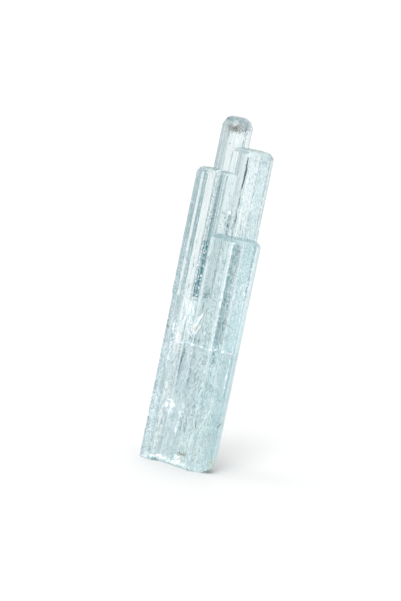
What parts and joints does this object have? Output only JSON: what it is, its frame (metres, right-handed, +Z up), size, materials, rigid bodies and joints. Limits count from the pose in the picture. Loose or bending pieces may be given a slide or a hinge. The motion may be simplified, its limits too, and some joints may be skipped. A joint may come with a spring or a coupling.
{
  "type": "aquamarine crystal",
  "caption": "Tall cluster of parallel, intergrown, striated aquamarine prisms with bevelled ends and a flat broken base.",
  "frame": {"origin": "middle of the cluster's footprint, on the plane of its broken base", "axes": "+Z up along the crystals' c axis, +X to the right and -Y to the front, the side with the shortest crystal"},
  "size_m": [0.0132, 0.0128, 0.0597],
  "materials": {
    "aquamarine": "clear pale blue-green crystal with lengthwise striations, cloudier in its lower part"
  },
  "bodies": {
    "root": {"aquamarine_crystal": "aquamarine"}
  },
  "joints": []
}
